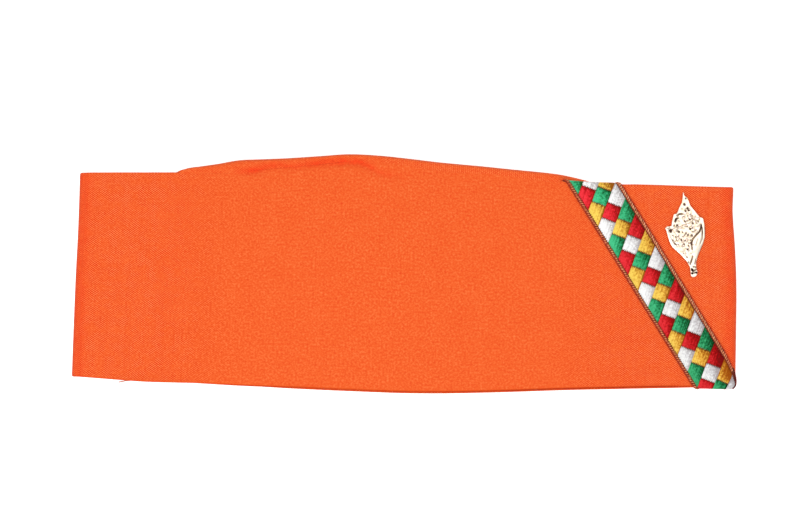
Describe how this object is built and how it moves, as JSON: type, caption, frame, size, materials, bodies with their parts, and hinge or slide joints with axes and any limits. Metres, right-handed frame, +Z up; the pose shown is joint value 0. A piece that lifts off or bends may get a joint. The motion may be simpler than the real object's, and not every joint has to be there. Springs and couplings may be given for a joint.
{
  "type": "pahadi cap",
  "caption": "Low cloth cap lying folded flat, with a slanting embroidered ribbon and a cast bud brooch pinned through its front wall.",
  "frame": {"origin": "middle of the folded cap's outline, on the surface it lies on", "axes": "+X along the cap towards the end with the brooch, +Y from the open hem to the crown, +Z up from the surface, through the back wall and then the front wall"},
  "size_m": [0.2862, 0.1027, 0.0145],
  "materials": {
    "orange_cloth": "matt orange woven cloth",
    "embroidered_ribbon": "satin-stitched in green, red, gold and white, with a twisted brown border",
    "gold_metal": "bright pale gold plating on cast metal",
    "plain_metal": "plain plated metal"
  },
  "bodies": {
    "root": {"side_band": "orange_cloth", "crown_front": "orange_cloth", "crown_rear": "orange_cloth", "ribbon": "embroidered_ribbon", "brooch": "gold_metal", "pin_clutch": "plain_metal"}
  },
  "joints": []
}
